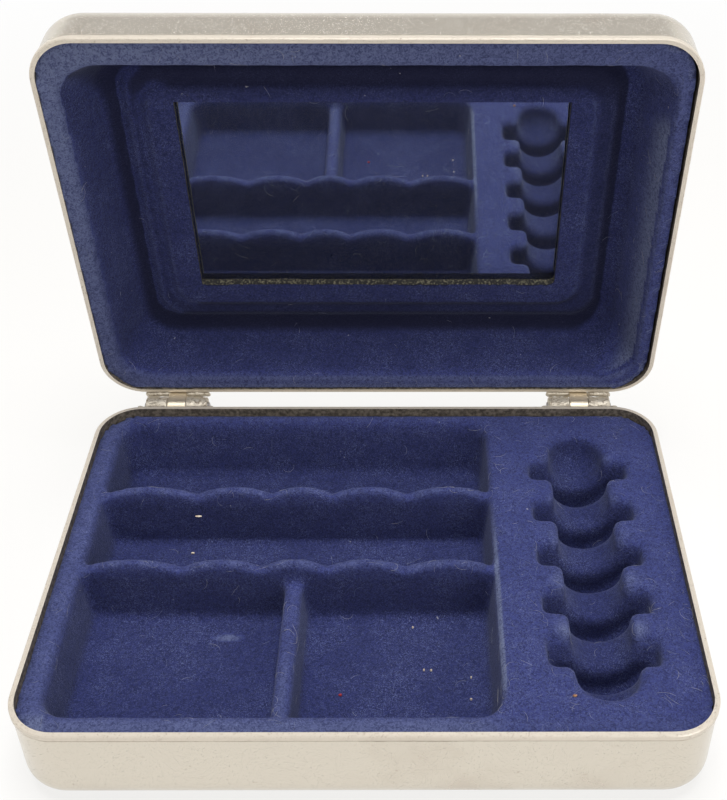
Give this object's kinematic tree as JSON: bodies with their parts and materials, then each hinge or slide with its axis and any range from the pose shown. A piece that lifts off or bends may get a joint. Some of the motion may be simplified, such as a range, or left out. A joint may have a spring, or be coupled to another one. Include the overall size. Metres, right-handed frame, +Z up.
{
  "type": "jewel box",
  "caption": "Low silver-plated jewel box, lid open on pinned back hinges, with a blue flocked tray, ring slots and a framed mirror in the lid.",
  "frame": {"origin": "middle of the felt underside that the box rests on", "axes": "+X to the right along the width, +Y back towards the hinges, +Z up"},
  "size_m": [0.1524, 0.1327, 0.1348],
  "materials": {
    "silver": "silver plate, polished, lightly worn",
    "rim": "silver plate, filed flat, worn to a warm tone",
    "flock": "flocked plastic sheet, deep blue",
    "felt": "pressed felt",
    "mirror": "silvered glass",
    "card": "pressed paper card",
    "solder": "plated, rough with solder",
    "brass": "worn brass",
    "pin": "drawn wire"
  },
  "bodies": {
    "base": {"base_shell": "silver", "base_rim": "rim", "base_liner": "flock", "base_felt": "felt", "left_hinge_base_leaf": "solder", "left_hinge_pin": "pin", "right_hinge_base_leaf": "solder", "right_hinge_pin": "pin"},
    "lid": {"lid_shell": "silver", "lid_rim": "rim", "lid_liner": "flock", "mirror": "mirror", "mirror_backing": "card", "left_hinge_lid_leaf": "brass", "right_hinge_lid_leaf": "brass"}
  },
  "joints": [
    {"name": "lid_hinge", "type": "hinge", "parent": "base", "child": "lid", "pos_m": [0, 0.05757, 0.02198], "axis": [-1, 0, 0], "range_deg": [-83.4, 0]}
  ]
}
